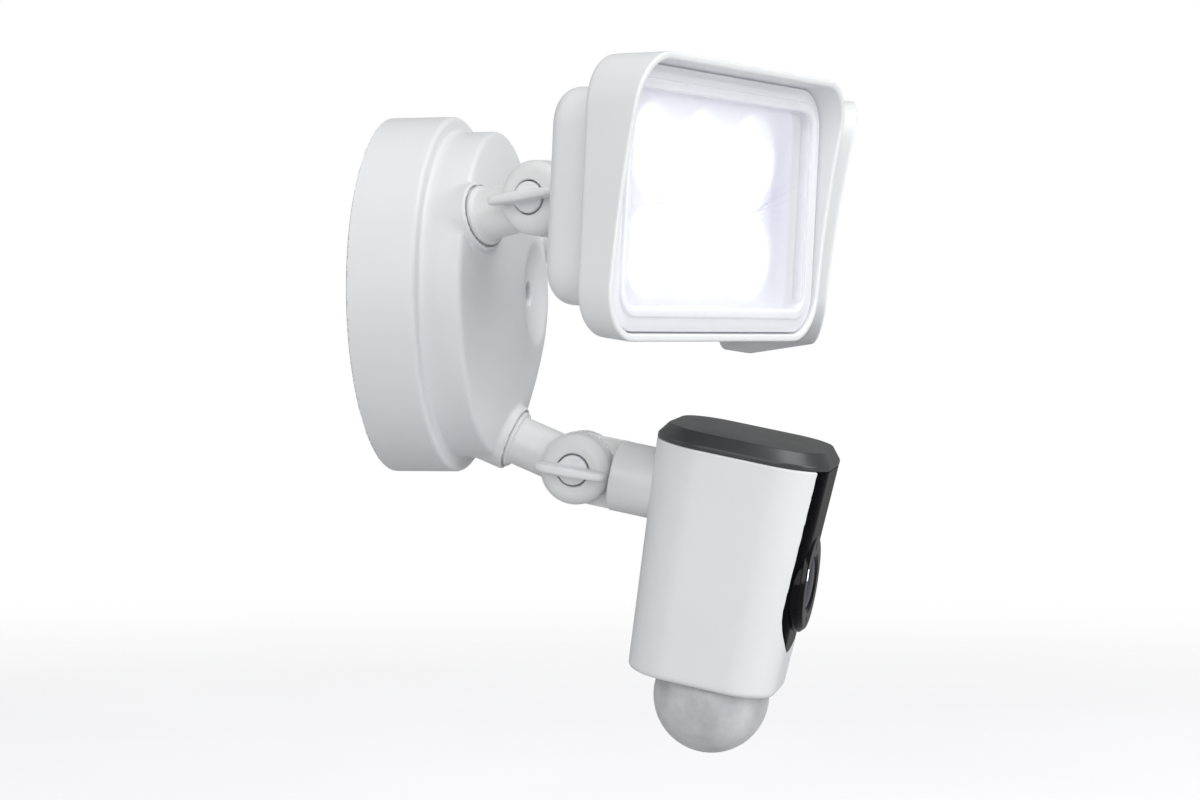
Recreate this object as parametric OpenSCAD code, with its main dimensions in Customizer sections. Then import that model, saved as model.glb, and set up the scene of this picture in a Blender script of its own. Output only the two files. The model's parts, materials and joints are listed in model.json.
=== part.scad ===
// Wall-mounted floodlight with two adjustable lamp heads and a camera with a motion sensor.
// Units are millimetres. The wall is the plane y = 0, the light faces -Y and +Z is up.

/* [Canopy] */
// Radius of the round canopy that covers the junction box
canopy_r = 62; // [60:0.5:66]
// Depth of the wide part of the canopy
canopy_d = 23.5; // [20:0.5:26]
// Radius of the raised front drum
drum_r = 56.6; // [55:0.1:58]
// Distance from the wall to the rim of the front drum
drum_d = 37.7; // [36:0.1:40]
// Radius of the flat disc in the middle of the front
hub_r = 17.5; // [15:0.5:20]
// Distance from the wall to the edge of the middle disc
hub_d = 50.4; // [48:0.1:52]
// Depth of the dish in the middle disc
hub_dish = 2.9; // [2:0.1:3]
// Wall thickness of the canopy
canopy_wall = 2.5; // [2:0.1:3]

/* [Arms] */
// Angle of each lamp arm from straight up
lamp_arm_angle = 61; // [58:1:64]
// Lean of every arm away from the wall's normal
arm_lean = 23; // [20:1:26]
// Distance of each arm's root from the canopy's centre
arm_root_r = 50.5; // [49:0.5:52]
// Distance of each arm's root from the wall
arm_root_d = 43; // [42:0.5:44]
// Length from the boss face to the knuckle's pivot
arm_l = 25; // [24:0.5:28]
// Radius of the arm's tube
arm_r = 8.5; // [8:0.1:9]
// Radius of the round knuckle
knuckle_r = 12.3; // [12:0.1:12.6]
// Thickness of each half of the knuckle
cheek_t = 11; // [10:0.5:11.5]
// Length of the wing on the knob
wing_l = 25; // [20:1:26]
// Turn of the wing on each lamp's knob
lamp_wing_turn = 5; // [-30:1:30]
// Turn of the wing on the camera's knob
camera_wing_turn = -14; // [-30:1:30]

/* [Lamp heads] */
// Downward pitch of each lamp head
lamp_pitch = 3.8; // [0:0.1:8]
// Roll of each lamp head about its arm, outer side down
lamp_roll = 1; // [0:0.5:2]
// Distance from the pivot to the back of the lamp
lamp_back = 33; // [32:0.5:36]
// Distance from the pivot to the back of the lamp's frame
frame_back = 55; // [54:0.5:57]
// Distance from the pivot to the middle of the lamp's front rim
rim_d = 71.6; // [71:0.1:73]
// Width of the lamp's frame
lamp_w = 135; // [132:0.5:137]
// Height of the lamp's frame
lamp_h = 86.5; // [84:0.5:88]
// Angle by which the top of the rim stands further out, as a visor
visor_angle = 6; // [4:0.5:6]
// Number of light sources across and up one lamp
led_cols = 3; // [3:1:3]
led_rows = 2; // [2:1:2]
// Distance between light sources
led_pitch = 31; // [30:0.5:32]

/* [Camera] */
// Downward pitch of the camera
camera_pitch = 11.5; // [8:0.5:14]
// Roll of the camera about its arm
camera_roll = 4.5; // [0:0.5:6]
// Distance from the pivot to the middle of the camera
camera_reach = 57.2; // [55:0.2:60]
// Height of the camera's top above the pivot
camera_rise = 18; // [17:0.5:20]
// Width of the camera at the top
camera_w = 56; // [54:1:58]
// Depth of the camera at the top
camera_depth = 60; // [58:0.5:62]
// Height of the camera's shell
camera_h = 80; // [78:1:84]
// Size of the camera at the bottom as a share of its size at the top
camera_taper = 0.86; // [0.84:0.01:0.9]
// Radius of the lens bezel
bezel_r = 17.2; // [16:0.1:17.5]
// Radius of the motion sensor's dome
dome_r = 20; // [19:0.5:20.5]

/* [Hidden] */
$fn = 72;
fit_gap = 0.05;    // radial clearance of a running fit
body_gap = 0.3;    // space between bodies that move
big = 300;

lamp_yaw = atan2(sin(arm_lean) * sin(lamp_arm_angle), cos(arm_lean));
lamp_rise = asin(sin(arm_lean) * cos(lamp_arm_angle));
lamp_root = [-arm_root_r * sin(lamp_arm_angle), -arm_root_d, arm_root_r * cos(lamp_arm_angle)];
camera_root = [0, -arm_root_d, -arm_root_r];
arm_angles = [lamp_arm_angle, 180, 360 - lamp_arm_angle];

gasket_t = 1;
gasket_ring_w = 3.2;
lip_t = 1.1;
boss_r = 11.6;
boss_floor = 18;     // length of the bore in each boss
shank_r = 7;
shank_l = 24;
seal_t = 1.2;
lock_nut_t = 4;
lock_nut_r = 10;
nut_room_r = 11;
wire_r = 3.5;
flange_r = 10;
flange_t = 2;
recess_r = 5.7;
recess_d = 3;
knob_disc_r = 5.2;
screw_r = 2.5;
wing_t = 3.6;
wing_h = 8;
square_nut_w = 8;
square_nut_t = 3.2;
nut_floor = 5.5;

screw_head_r = 4;
bar_w = 18;
bar_l = 98;
bar_t = 1.6;
bar_boss_h = 6;
bar_hole_spacing = 83.3;
bar_slot_r = 2.4;
bar_slot_l = 10;
ground_x = 14;
ground_r = 1.5;
board_z = 20;
board_t = 1.6;
post_x = 32;
post_y = -18;

frame_wall = 2.4;
flange_top = frame_back + frame_wall + 2;
lamp_screw_r = 1;
lamp_screw_inset = 7.5;
lamp_head_r = 2;
lamp_head_t = 1.2;
lamp_head_sunk = 0.2;
frame_r = 16;
housing_w = 105;
housing_h = 67;
housing_r = 12;
housing_wall = 2.2;
link_r = 12.3;
lens_foot = 61;
lens_z = 64;
lens_t = 2;
window_w = 113;
window_h = 67.5;
window_step = 1;
gasket_w = 2.4;
tray_w = 99;
tray_z = 44;
tray_d = 15;
cup_r = 14.4;
cup_root_r = 4;
led_w = 4;
led_t = 1;
sink_t = 3;
fin_h = 3.4;
fin_count = 9;

camera_r = 18;
shell_t = 2.2;
cap_h = 5.8;
cap_inset = 3.2;
panel_top_w = 19.2;
panel_r = 18.2;
panel_z = -47;
panel_gap = 0.15;
eye_z = -40.4;
bezel_out = 2;
window_ring = 13.4;
status_angle = 160;
glass_r = 9;
dome_drop = 6;
dome_forward = 3;
dome_neck_r = 18.4;
dome_t = 1.2;

// ---- Frames of reference ----

// Local z points away from the wall, local y is up
module from_wall() { rotate([90, 0, 0]) children(); }

// Local z runs along an arm that rises by the given angle, with the origin at its boss
module along_arm(root, yaw, rise, roll) {
    translate(root) rotate([0, 0, -yaw]) rotate([90 - rise, 0, 0]) rotate([0, 0, roll]) children();
}

// Local z runs along the link of a knuckle at the end of an arm
module at_pivot(root, yaw, rise, roll, pitch) {
    along_arm(root, yaw, rise, roll) translate([0, 0, arm_l]) rotate([pitch + rise, 0, 0]) children();
}

module on_side(left) { if (left) children(); else mirror([1, 0, 0]) children(); }
module lamp_arm_frame(left) {
    on_side(left) along_arm(lamp_root, lamp_yaw, lamp_rise, lamp_roll) children();
}
module lamp_frame(left) {
    on_side(left) at_pivot(lamp_root, lamp_yaw, lamp_rise, lamp_roll, lamp_pitch) children();
}
module camera_arm_frame() { along_arm(camera_root, 0, -arm_lean, camera_roll) children(); }
module camera_link_frame() {
    at_pivot(camera_root, 0, -arm_lean, camera_roll, camera_pitch) children();
}

// Origin at the middle of the camera's top, front towards -y, z up
module camera_frame() {
    camera_link_frame() rotate([-90, 0, 0]) translate([0, -camera_reach, camera_rise]) children();
}

// ---- Shared shapes ----

module rounded_rect(w, h, r) {
    square([w - 2 * r, h], center = true);
    square([w, h - 2 * r], center = true);
    for (x = [-1, 1], y = [-1, 1]) translate([x * (w / 2 - r), y * (h / 2 - r)]) circle(r);
}

module slot(length, r) {
    square([length - 2 * r, 2 * r], center = true);
    for (x = [-1, 1]) translate([x * (length / 2 - r), 0]) circle(r);
}

module plate(w, h, r, from, to) {
    translate([0, 0, from]) linear_extrude(to - from) rounded_rect(w, h, r);
}

module ring(outer, inner, from, to) {
    translate([0, 0, from]) difference() {
        cylinder(r = outer, h = to - from);
        translate([0, 0, -1]) cylinder(r = inner, h = to - from + 2);
    }
}

module arm_places() {
    for (a = arm_angles)
        rotate([0, 0, a]) translate([0, arm_root_r, arm_root_d]) rotate([-arm_lean, 0, 0]) children();
}

// ---- Canopy ----

// Distance from the wall to the front: a slightly domed cone, and a dish inside its hub
function cone_d(r) = drum_d + (hub_d - drum_d) * (1 - pow((r - hub_r) / (drum_r - hub_r), 1.3));
function dish_d(r) = hub_d - hub_dish * (1 - pow(r / hub_r, 2));

// Half outline of the canopy, in radius and distance from the wall
module canopy_outline(inset, base) {
    edge = 2 - inset / 2;
    polygon(concat(
        [[0, base], [canopy_r - inset, base], [canopy_r - inset, canopy_d - edge - inset],
         [canopy_r - inset - edge, canopy_d - inset], [drum_r - inset, canopy_d - inset],
         [drum_r - inset, drum_d - 1.5 - inset], [drum_r - inset - 1.5, drum_d - inset]],
        [for (r = [50, 44, 38, 32, 26, 21, hub_r]) [r, cone_d(r) - inset]],
        [for (r = [15, 12, 9, 6, 3, 0]) [r, dish_d(r) - inset]]));
}

module canopy() {
    color("whitesmoke") from_wall() difference() {
        union() {
            rotate_extrude($fn = 120) canopy_outline(0, body_gap);
            intersection() {
                arm_places() translate([0, 0, -24]) cylinder(r = boss_r, h = 24);
                translate([0, 0, 12]) cylinder(r = canopy_r + 12, h = 60);
            }
        }
        difference() {
            union() {
                rotate_extrude($fn = 120) canopy_outline(canopy_wall, -1);
                translate([0, 0, -1]) cylinder(r = canopy_r - lip_t, h = 1 + gasket_t, $fn = 120);
            }
            arm_places() translate([0, 0, -boss_floor]) cylinder(r = boss_r, h = boss_floor);
            translate([0, 0, canopy_d]) cylinder(r = 7, h = 30);
            for (x = [-1, 1]) translate([x * post_x, post_y, board_z + board_t]) cylinder(r = 3, h = 30);
        }
        arm_places() translate([0, 0, -boss_floor - 40]) cylinder(r = nut_room_r, h = 40);
        arm_places() translate([0, 0, -boss_floor - 1]) cylinder(r = shank_r + fit_gap, h = 26);
        arm_places() translate([0, 0, -seal_t]) cylinder(r = shank_r + 2, h = 5);
        translate([0, 0, hub_d - 7]) cylinder(r = screw_head_r + 0.3, h = 20);
        cylinder(r = 2.3, h = 60);
    }
}

module wall_gasket() {
    color("dimgray") from_wall()
        ring(canopy_r - lip_t - 0.2, canopy_r - lip_t - 0.2 - gasket_ring_w, 0, gasket_t);
}

module crossbar() {
    color("silver") from_wall() difference() {
        union() {
            linear_extrude(bar_t) rounded_rect(bar_l, bar_w, 6);
            cylinder(r = 5.5, h = bar_boss_h);
        }
        translate([0, 0, -1]) cylinder(r = 2, h = bar_boss_h + 2);
        for (x = [-1, 1]) translate([x * bar_hole_spacing / 2, 0, -1])
            linear_extrude(bar_t + 2) slot(bar_slot_l, bar_slot_r);
        translate([ground_x, 0, -1]) cylinder(r = ground_r, h = bar_t + 2);
    }
}

module canopy_screw() {
    color("gainsboro") from_wall() difference() {
        union() {
            translate([0, 0, 1]) cylinder(r = 2, h = hub_d - 7);
            translate([0, 0, hub_d - 7]) cylinder(r = screw_head_r, h = 2.6);
        }
        for (a = [0, 90]) rotate([0, 0, a])
            translate([-2.4, -0.5, hub_d - 5.6]) cube([4.8, 1, 3]);
    }
}

module ground_screw() {
    color("green") from_wall() translate([ground_x, 0, 0]) difference() {
        union() {
            translate([0, 0, 0.2]) cylinder(r = ground_r, h = bar_t);
            translate([0, 0, bar_t]) cylinder(r = 3.6, h = 2, $fn = 6);
        }
        translate([-3, -0.5, bar_t + 1.2]) cube([6, 1, 2]);
    }
}

module driver_board() {
    color("darkgreen") from_wall() difference() {
        translate([0, 0, board_z]) cylinder(r = 44, h = board_t);
        translate([0, 0, board_z - 1]) cylinder(r = 8, h = 4);
        arm_places() translate([0, 0, -45]) cylinder(r = 15, h = 45);
        translate([-50, 24, board_z - 1]) cube([100, 30, 4]);
    }
}

module driver_parts() {
    color("goldenrod") from_wall() translate([0, 0, board_z + board_t]) {
        translate([-10, 12, 0]) cube([20, 10, 9]);
        for (x = [-1, 1]) translate([x * 22, -8, 0]) cylinder(r = 4.5, h = 11);
        translate([-12, -22, 0]) cube([7, 9, 5]);
        translate([4, -22, 0]) cube([10, 8, 4]);
        for (x = [-28, 28]) translate([x - 4, 2, 0]) cube([8, 6, 7]);
    }
}

module arm_seals() {
    color("black") from_wall() arm_places() ring(shank_r + 1.9, shank_r + 0.1, -seal_t, 0);
}

// ---- Arm, knob and knuckle ----

// Half outline of a knuckle's half: radius and distance from the middle of the knuckle
module cheek_outline(outer_fillet) {
    hull() {
        translate([0, body_gap / 2]) square([knuckle_r, cheek_t - outer_fillet - body_gap / 2]);
        translate([0, body_gap / 2]) square([knuckle_r - outer_fillet, cheek_t - body_gap / 2]);
        intersection() {
            translate([knuckle_r - outer_fillet, cheek_t - outer_fillet]) circle(outer_fillet, $fn = 32);
            square([knuckle_r, cheek_t]);
        }
    }
}

module cheek() { rotate_extrude() cheek_outline(4.5); }

module arm(angle) {
    difference() {
        union() {
            translate([0, 0, -shank_l]) cylinder(r = shank_r, h = shank_l + 1);
            translate([0, 0, body_gap]) cylinder(r = flange_r, h = flange_t);
            translate([0, 0, body_gap]) cylinder(r = arm_r, h = arm_l - body_gap);
            translate([0, 0, arm_l]) rotate([0, -90, 0]) cheek();
        }
        translate([-body_gap / 2, 0, arm_l]) rotate([0, 90, 0])
            cylinder(r = knuckle_r + 0.5, h = 20);
        translate([10, 0, arm_l]) rotate([0, -90, 0]) cylinder(r = screw_r + fit_gap, h = 30);
        translate([recess_d - cheek_t, 0, arm_l]) rotate([0, -90, 0]) cylinder(r = recess_r, h = 10);
        translate([0, 0, -shank_l - 1]) cylinder(r = wire_r, h = shank_l + 8);
    }
}

module lock_nut() {
    difference() {
        translate([0, 0, -boss_floor - body_gap - lock_nut_t])
            cylinder(r = lock_nut_r, h = lock_nut_t, $fn = 6);
        translate([0, 0, -shank_l - 1]) cylinder(r = shank_r, h = shank_l);
    }
}

// Wing and clamping screw, in the arm's frame, with the wing turned by an angle
module knob(turn) {
    translate([0, 0, arm_l]) rotate([turn, 0, 0]) {
        translate([-cheek_t - 0.5, 0, 0]) rotate([0, 90, 0])
            cylinder(r = screw_r, h = cheek_t + nut_floor + square_nut_t + 0.5);
        translate([-cheek_t - 0.8, 0, 0]) rotate([0, 90, 0])
            cylinder(r = knob_disc_r, h = recess_d + 0.8 - body_gap);
        translate([-cheek_t - wing_h / 2 - 0.6, wing_t / 2, 0]) rotate([90, 0, 0])
            linear_extrude(wing_t) {
                square([wing_h, wing_l - wing_h], center = true);
                for (z = [-1, 1]) translate([0, z * (wing_l - wing_h) / 2]) circle(wing_h / 2);
            }
    }
}

// Square nut captive in the link, in the link's frame
module square_nut() {
    translate([nut_floor, 0, 0]) rotate([0, 90, 0]) difference() {
        translate([-square_nut_w / 2, -square_nut_w / 2, 0])
            cube([square_nut_w, square_nut_w, square_nut_t]);
        translate([0, 0, -1]) cylinder(r = screw_r + fit_gap, h = 10);
    }
}

// Second half of the knuckle and the tube that carries the head, in the link's frame
module link(length) {
    start = knuckle_r + 0.7;
    difference() {
        union() {
            rotate([0, 90, 0]) cheek();
            intersection() {
                cylinder(r = link_r, h = start + 1);
                translate([body_gap / 2, -20, 0]) cube([40, 40, 40]);
            }
            translate([0, 0, start]) cylinder(r = link_r, h = length - start);
        }
        translate([-1, 0, 0]) rotate([0, 90, 0]) cylinder(r = screw_r + fit_gap, h = 30);
        translate([nut_floor - 0.1, -square_nut_w / 2 - 0.1, -square_nut_w / 2 - 0.1])
            cube([20, square_nut_w + 0.2, square_nut_w + 0.2]);
        translate([0, 0, start + 3]) cylinder(r = wire_r, h = length);
    }
}

// ---- Lamp head, in the frame of its link ----

module visor_cut() {
    translate([0, 0, rim_d]) rotate([visor_angle, 0, 0])
        translate([-big / 2, -big / 2, 0]) cube([big, big, 60]);
}

module lamp_housing() {
    difference() {
        union() {
            plate(housing_w, housing_h, housing_r, lamp_back, flange_top);
            plate(lamp_w - 2 * frame_wall - 1, lamp_h - 2 * frame_wall - 1, frame_r - frame_wall,
                  frame_back + frame_wall + 0.1, flange_top);
        }
        plate(housing_w - 2 * housing_wall, housing_h - 2 * housing_wall, housing_r - housing_wall,
              lamp_back + housing_wall, big);
        translate([0, 0, lamp_back - 1]) cylinder(r = wire_r, h = 10);
        lamp_screw_places() cylinder(r = lamp_screw_r, h = 20);
    }
}

module heat_sink() {
    difference() {
        union() {
            plate(tray_w, housing_h - 8, 6, tray_z - board_t - sink_t, tray_z - board_t);
            for (i = [0 : fin_count - 1])
                translate([(i - (fin_count - 1) / 2) * 10 - 0.75, -26,
                           tray_z - board_t - sink_t - 1]) cube([1.5, 52, 1.1]);
        }
        translate([0, 0, lamp_back]) cylinder(r = wire_r, h = 10);
    }
}

module led_places() {
    for (i = [0 : led_cols - 1], j = [0 : led_rows - 1])
        translate([(i - (led_cols - 1) / 2) * led_pitch, (j - (led_rows - 1) / 2) * led_pitch])
            children();
}

module led_board() { plate(tray_w - 2, housing_h - 10, 5, tray_z - board_t, tray_z); }

module leds() {
    led_places() translate([-led_w / 2, -led_w / 2, tray_z]) cube([led_w, led_w, led_t]);
}

module reflector() {
    difference() {
        plate(tray_w, housing_h - 5, 8, tray_z + 0.2, tray_z + tray_d);
        led_places() translate([0, 0, tray_z - 1]) cylinder(r = cup_root_r, h = 5);
        led_places() translate([0, 0, tray_z + 1.2])
            cylinder(r1 = cup_root_r, r2 = cup_r, h = tray_d - 1.1);
    }
}

// Area inside the frame's wall, less an inset
module inside_frame(inset, from, to) {
    plate(lamp_w - 2 * frame_wall - 2 * inset, lamp_h - 2 * frame_wall - 2 * inset,
          frame_r - frame_wall - inset, from, to);
}

module lamp_gasket() {
    difference() {
        inside_frame(body_gap, flange_top, lens_foot);
        inside_frame(gasket_w, flange_top - 1, lens_foot + 1);
    }
}

// Clear cover with a foot all round that presses on the gasket
module lens() {
    difference() {
        union() {
            inside_frame(body_gap, lens_foot, lens_z + lens_t);
            plate(window_w + 4, window_h + 4, 8, lens_z, lens_z + lens_t + window_step);
        }
        inside_frame(gasket_w, lens_foot - 1, lens_z);
        plate(window_w, window_h, 6, lens_z - 1, lens_z + window_step);
    }
}

module frame_shell() {
    difference() {
        plate(lamp_w, lamp_h, frame_r, frame_back, rim_d + 6);
        plate(lamp_w - 2 * frame_wall, lamp_h - 2 * frame_wall, frame_r - frame_wall,
              frame_back + frame_wall, rim_d + 20);
        plate(housing_w + 0.4, housing_h + 0.4, housing_r, frame_back - 1, frame_back + 3);
        lamp_screw_places() cylinder(r = lamp_screw_r, h = 20);
        lamp_screw_places() translate([0, 0, -2])
            cylinder(r = lamp_head_r + 0.2, h = lamp_head_t + 2);
        visor_cut();
    }
}

module lamp_screw_places() {
    for (x = [-1, 1], y = [-1, 1])
        translate([x * (lamp_w / 2 - lamp_screw_inset), y * (lamp_h / 2 - lamp_screw_inset),
                   frame_back + lamp_head_sunk])
            children();
}

module lamp_screws() {
    lamp_screw_places() difference() {
        union() {
            cylinder(r = lamp_head_r, h = lamp_head_t);
            cylinder(r = lamp_screw_r, h = flange_top - frame_back - lamp_head_sunk - 0.2);
        }
        translate([-0.3, -1.5, -1]) cube([0.6, 3, 1.5]);
    }
}

// ---- Camera, in its own frame ----

module camera_section(inset) {
    rounded_rect(camera_w - 2 * inset, camera_depth - 2 * inset, camera_r - inset);
}

// Solid of the camera's body, narrower at the bottom
module camera_solid(inset, bottom, top) {
    translate([0, 0, top]) mirror([0, 0, 1])
        linear_extrude(top - bottom,
                       scale = 1 - (1 - camera_taper) * (top - bottom) / camera_h)
            camera_section(inset);
}

// Bar from front to back with the outline of the front panel, which narrows downwards
module panel_bar(grow) {
    top = panel_top_w + grow;
    bottom = panel_r + grow;
    rotate([90, 0, 0]) linear_extrude(camera_depth) {
        translate([0, panel_z]) circle(bottom);
        polygon([[-top, 0], [-bottom, panel_z], [bottom, panel_z], [top, 0], [top, 10], [-top, 10]]);
    }
}

module camera_shell() {
    color("whitesmoke") camera_frame() difference() {
        camera_solid(0, -camera_h, 0);
        camera_solid(shell_t, -camera_h + 3, 0.1);
        panel_bar(panel_gap);
        translate([0, -dome_forward, -camera_h - 1]) cylinder(r = dome_neck_r + 0.1, h = 6);
        translate([0, 10, -camera_rise]) rotate([-90, 0, 0]) cylinder(r = wire_r, h = 40);
    }
}

module camera_cap() {
    color([0.2, 0.21, 0.22]) camera_frame() {
        translate([0, 0, 0.1]) linear_extrude(1.6) camera_section(0);
        hull() {
            translate([0, 0, 1.6]) linear_extrude(0.1) camera_section(0);
            translate([0, 0, cap_h - 0.1]) linear_extrude(0.1) camera_section(cap_inset);
        }
        translate([0, 0, -3]) difference() {
            linear_extrude(3.2) camera_section(shell_t + 1);
            translate([0, 0, -1]) linear_extrude(3) camera_section(shell_t + 3);
        }
    }
}

module front_panel() {
    color([0.05, 0.05, 0.06]) camera_frame() difference() {
        intersection() {
            camera_solid(0, -camera_h, 0);
            panel_bar(0);
        }
        camera_solid(shell_t, -camera_h, 0.1);
        panel_frame() translate([0, 0, -10]) cylinder(r = glass_r + 1.1, h = 20);
    }
}

// Local z points out of the front panel at the lens, local y is up the panel
module panel_frame() {
    lean = atan2((1 - camera_taper) * camera_depth / 2, camera_h);
    front = camera_depth / 2 * (1 + (1 - camera_taper) * eye_z / camera_h);
    translate([0, -front, eye_z]) rotate([90 + lean, 0, 0]) children();
}

module status_place() {
    rotate([0, 0, status_angle]) translate([window_ring, 0, bezel_out - 1]) children();
}

module lens_bezel() {
    color([0.03, 0.03, 0.03]) camera_frame() panel_frame() difference() {
        union() {
            translate([0, 0, 0.05]) cylinder(r1 = bezel_r, r2 = bezel_r - 1.2, h = bezel_out);
            translate([0, 0, -3]) cylinder(r = glass_r + 1, h = 4);
        }
        translate([0, 0, -5]) cylinder(r = 7, h = 20);
        translate([0, 0, bezel_out - 1.5]) cylinder(r = glass_r, h = 5);
        for (y = [-1, 1]) translate([0, y * window_ring, bezel_out - 1]) cylinder(r = 1.8, h = 5);
        status_place() cylinder(r = 1.2, h = 5);
    }
}

module lens_glass() {
    color([0.1, 0.12, 0.2, 0.6]) camera_frame() panel_frame()
        translate([0, 0, bezel_out - 1.5]) cylinder(r = glass_r, h = 1.3);
}

module lens_barrel() {
    color([0.15, 0.15, 0.16]) camera_frame() panel_frame() difference() {
        translate([0, 0, -14]) cylinder(r = 6.9, h = bezel_out + 12.4);
        translate([0, 0, -2]) cylinder(r1 = 2, r2 = 6, h = 8);
    }
}

module infrared_leds() {
    color("indigo") camera_frame() panel_frame()
        for (y = [-1, 1]) translate([0, y * window_ring, bezel_out - 1]) cylinder(r = 1.8, h = 0.9);
}

module image_board() {
    color("darkgreen") camera_frame() panel_frame()
        translate([-15, -15, -15.7]) cube([30, 30, 1.6]);
}

module main_board() {
    color("darkgreen") camera_frame() translate([-20, 4, -62]) cube([40, 1.6, 54]);
}

module speaker() {
    color("dimgray") camera_frame() translate([0, 15.5, -66]) {
        cylinder(r = 8.5, h = 4);
        translate([0, 0, 4]) cylinder(r = 6, h = 3);
    }
}

module status_light() {
    color("lightblue") camera_frame() panel_frame()
        status_place() cylinder(r = 1.2, h = 0.9);
}

module sensor_dome() {
    color([0.9, 0.9, 0.92, 0.9]) camera_frame()
        translate([0, -dome_forward, -camera_h - dome_drop]) {
            difference() {
                sphere(r = dome_r);
                sphere(r = dome_r - dome_t);
                translate([-50, -50, dome_drop - 0.1]) cube(100);
            }
            ring(dome_neck_r, dome_neck_r - 1.6, dome_drop - 0.6, dome_drop + 4);
            ring(dome_neck_r + 1.4, dome_neck_r - 1.6, dome_drop + 3.1, dome_drop + 4.6);
        }
}

module sensor_can() {
    color("silver") camera_frame() translate([0, -dome_forward, -camera_h - dome_drop]) {
        translate([0, 0, -2]) cylinder(r = 4.6, h = 8);
        translate([0, 0, 5]) cylinder(r = 5.4, h = 1);
    }
}

module sensor_board() {
    color("darkgreen") camera_frame()
        translate([0, -dome_forward, -camera_h]) cylinder(r = 13, h = 1.6);
}

// The link stops on the curved back of the shell
module camera_link() {
    color("whitesmoke") difference() {
        camera_link_frame() link(camera_reach - camera_depth / 2 + 6);
        camera_frame() camera_solid(0, -camera_h, 0);
    }
}

// ---- Nodes ----

module lamp_arm(left) { color("whitesmoke") lamp_arm_frame(left) arm(); }
module lamp_lock_nut(left) { color("silver") lamp_arm_frame(left) lock_nut(); }
module lamp_knob(left) { color("white") lamp_arm_frame(left) knob(lamp_wing_turn); }
module lamp_link(left) { color("whitesmoke") lamp_frame(left) link(lamp_back); }
module lamp_square_nut(left) { color("silver") lamp_frame(left) square_nut(); }
module housing(left) { color("gainsboro") lamp_frame(left) lamp_housing(); }
module sink(left) { color("silver") lamp_frame(left) heat_sink(); }
module board(left) { color("white") lamp_frame(left) led_board(); }
module light_sources(left) { color("lightyellow") lamp_frame(left) leds(); }
module cups(left) { color("silver") lamp_frame(left) reflector(); }
module seal(left) { color("dimgray") lamp_frame(left) lamp_gasket(); }
module cover_lens(left) { color([0.8, 0.85, 0.9, 0.4]) lamp_frame(left) lens(); }
module bezel(left) { color("whitesmoke") lamp_frame(left) frame_shell(); }
module back_screws(left) { color("silver") lamp_frame(left) lamp_screws(); }

canopy();
wall_gasket();
crossbar();
canopy_screw();
ground_screw();
driver_board();
driver_parts();
arm_seals();

lamp_arm(true);  // left_arm
lamp_lock_nut(true);  // left_lock_nut
lamp_knob(true);  // left_knob
lamp_link(true);  // left_link
lamp_square_nut(true);  // left_square_nut
housing(true);  // left_housing
sink(true);  // left_heat_sink
board(true);  // left_led_board
light_sources(true);  // left_leds
cups(true);  // left_reflector
seal(true);  // left_gasket
cover_lens(true);  // left_lens
bezel(true);  // left_frame
back_screws(true);  // left_screws

lamp_arm(false);  // right_arm
lamp_lock_nut(false);  // right_lock_nut
lamp_knob(false);  // right_knob
lamp_link(false);  // right_link
lamp_square_nut(false);  // right_square_nut
housing(false);  // right_housing
sink(false);  // right_heat_sink
board(false);  // right_led_board
light_sources(false);  // right_leds
cups(false);  // right_reflector
seal(false);  // right_gasket
cover_lens(false);  // right_lens
bezel(false);  // right_frame
back_screws(false);  // right_screws

color("whitesmoke") camera_arm_frame() arm();  // camera_arm
color("silver") camera_arm_frame() lock_nut();  // camera_lock_nut
color("white") camera_arm_frame() knob(camera_wing_turn);  // camera_knob
camera_link();
color("silver") camera_link_frame() square_nut();  // camera_square_nut
camera_shell();
camera_cap();
front_panel();
lens_bezel();
lens_glass();
lens_barrel();
image_board();
main_board();
infrared_leds();
speaker();
status_light();
sensor_dome();
sensor_can();
sensor_board();
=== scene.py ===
"""Looks of a wall-mounted floodlight with two lamp heads and a camera.

Lengths are in millimetres in the frame of each sub-part and become metres when a mesh is made.
Soft moulded shapes are sculpted as distance fields, and rims and housings are swept profiles.
"""
from math import asin, atan2, ceil, cos, pi, radians, sin, sqrt

import bpy
import numpy as np
from mathutils import Matrix, Vector
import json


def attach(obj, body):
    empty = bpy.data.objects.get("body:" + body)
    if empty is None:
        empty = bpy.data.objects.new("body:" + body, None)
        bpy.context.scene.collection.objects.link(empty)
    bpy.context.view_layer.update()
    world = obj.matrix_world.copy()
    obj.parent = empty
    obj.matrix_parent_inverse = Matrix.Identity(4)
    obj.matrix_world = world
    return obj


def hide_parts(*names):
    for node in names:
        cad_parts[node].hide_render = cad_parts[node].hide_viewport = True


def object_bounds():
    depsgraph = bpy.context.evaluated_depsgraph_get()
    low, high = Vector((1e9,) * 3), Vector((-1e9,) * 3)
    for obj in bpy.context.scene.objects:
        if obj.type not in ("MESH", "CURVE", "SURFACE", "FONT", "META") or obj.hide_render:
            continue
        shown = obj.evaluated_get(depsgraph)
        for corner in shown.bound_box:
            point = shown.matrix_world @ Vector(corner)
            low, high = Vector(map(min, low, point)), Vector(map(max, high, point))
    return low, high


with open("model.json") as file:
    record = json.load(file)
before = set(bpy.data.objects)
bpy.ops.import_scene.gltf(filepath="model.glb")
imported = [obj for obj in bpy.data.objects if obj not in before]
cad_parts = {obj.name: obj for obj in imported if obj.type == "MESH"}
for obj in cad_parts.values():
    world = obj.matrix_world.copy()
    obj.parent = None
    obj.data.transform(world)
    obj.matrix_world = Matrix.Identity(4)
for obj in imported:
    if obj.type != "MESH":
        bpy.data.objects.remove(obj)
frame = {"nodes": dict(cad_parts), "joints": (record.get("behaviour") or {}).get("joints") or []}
cad_low, cad_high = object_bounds()
JOINTS = {j["name"]: j for j in frame["joints"]}
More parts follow.
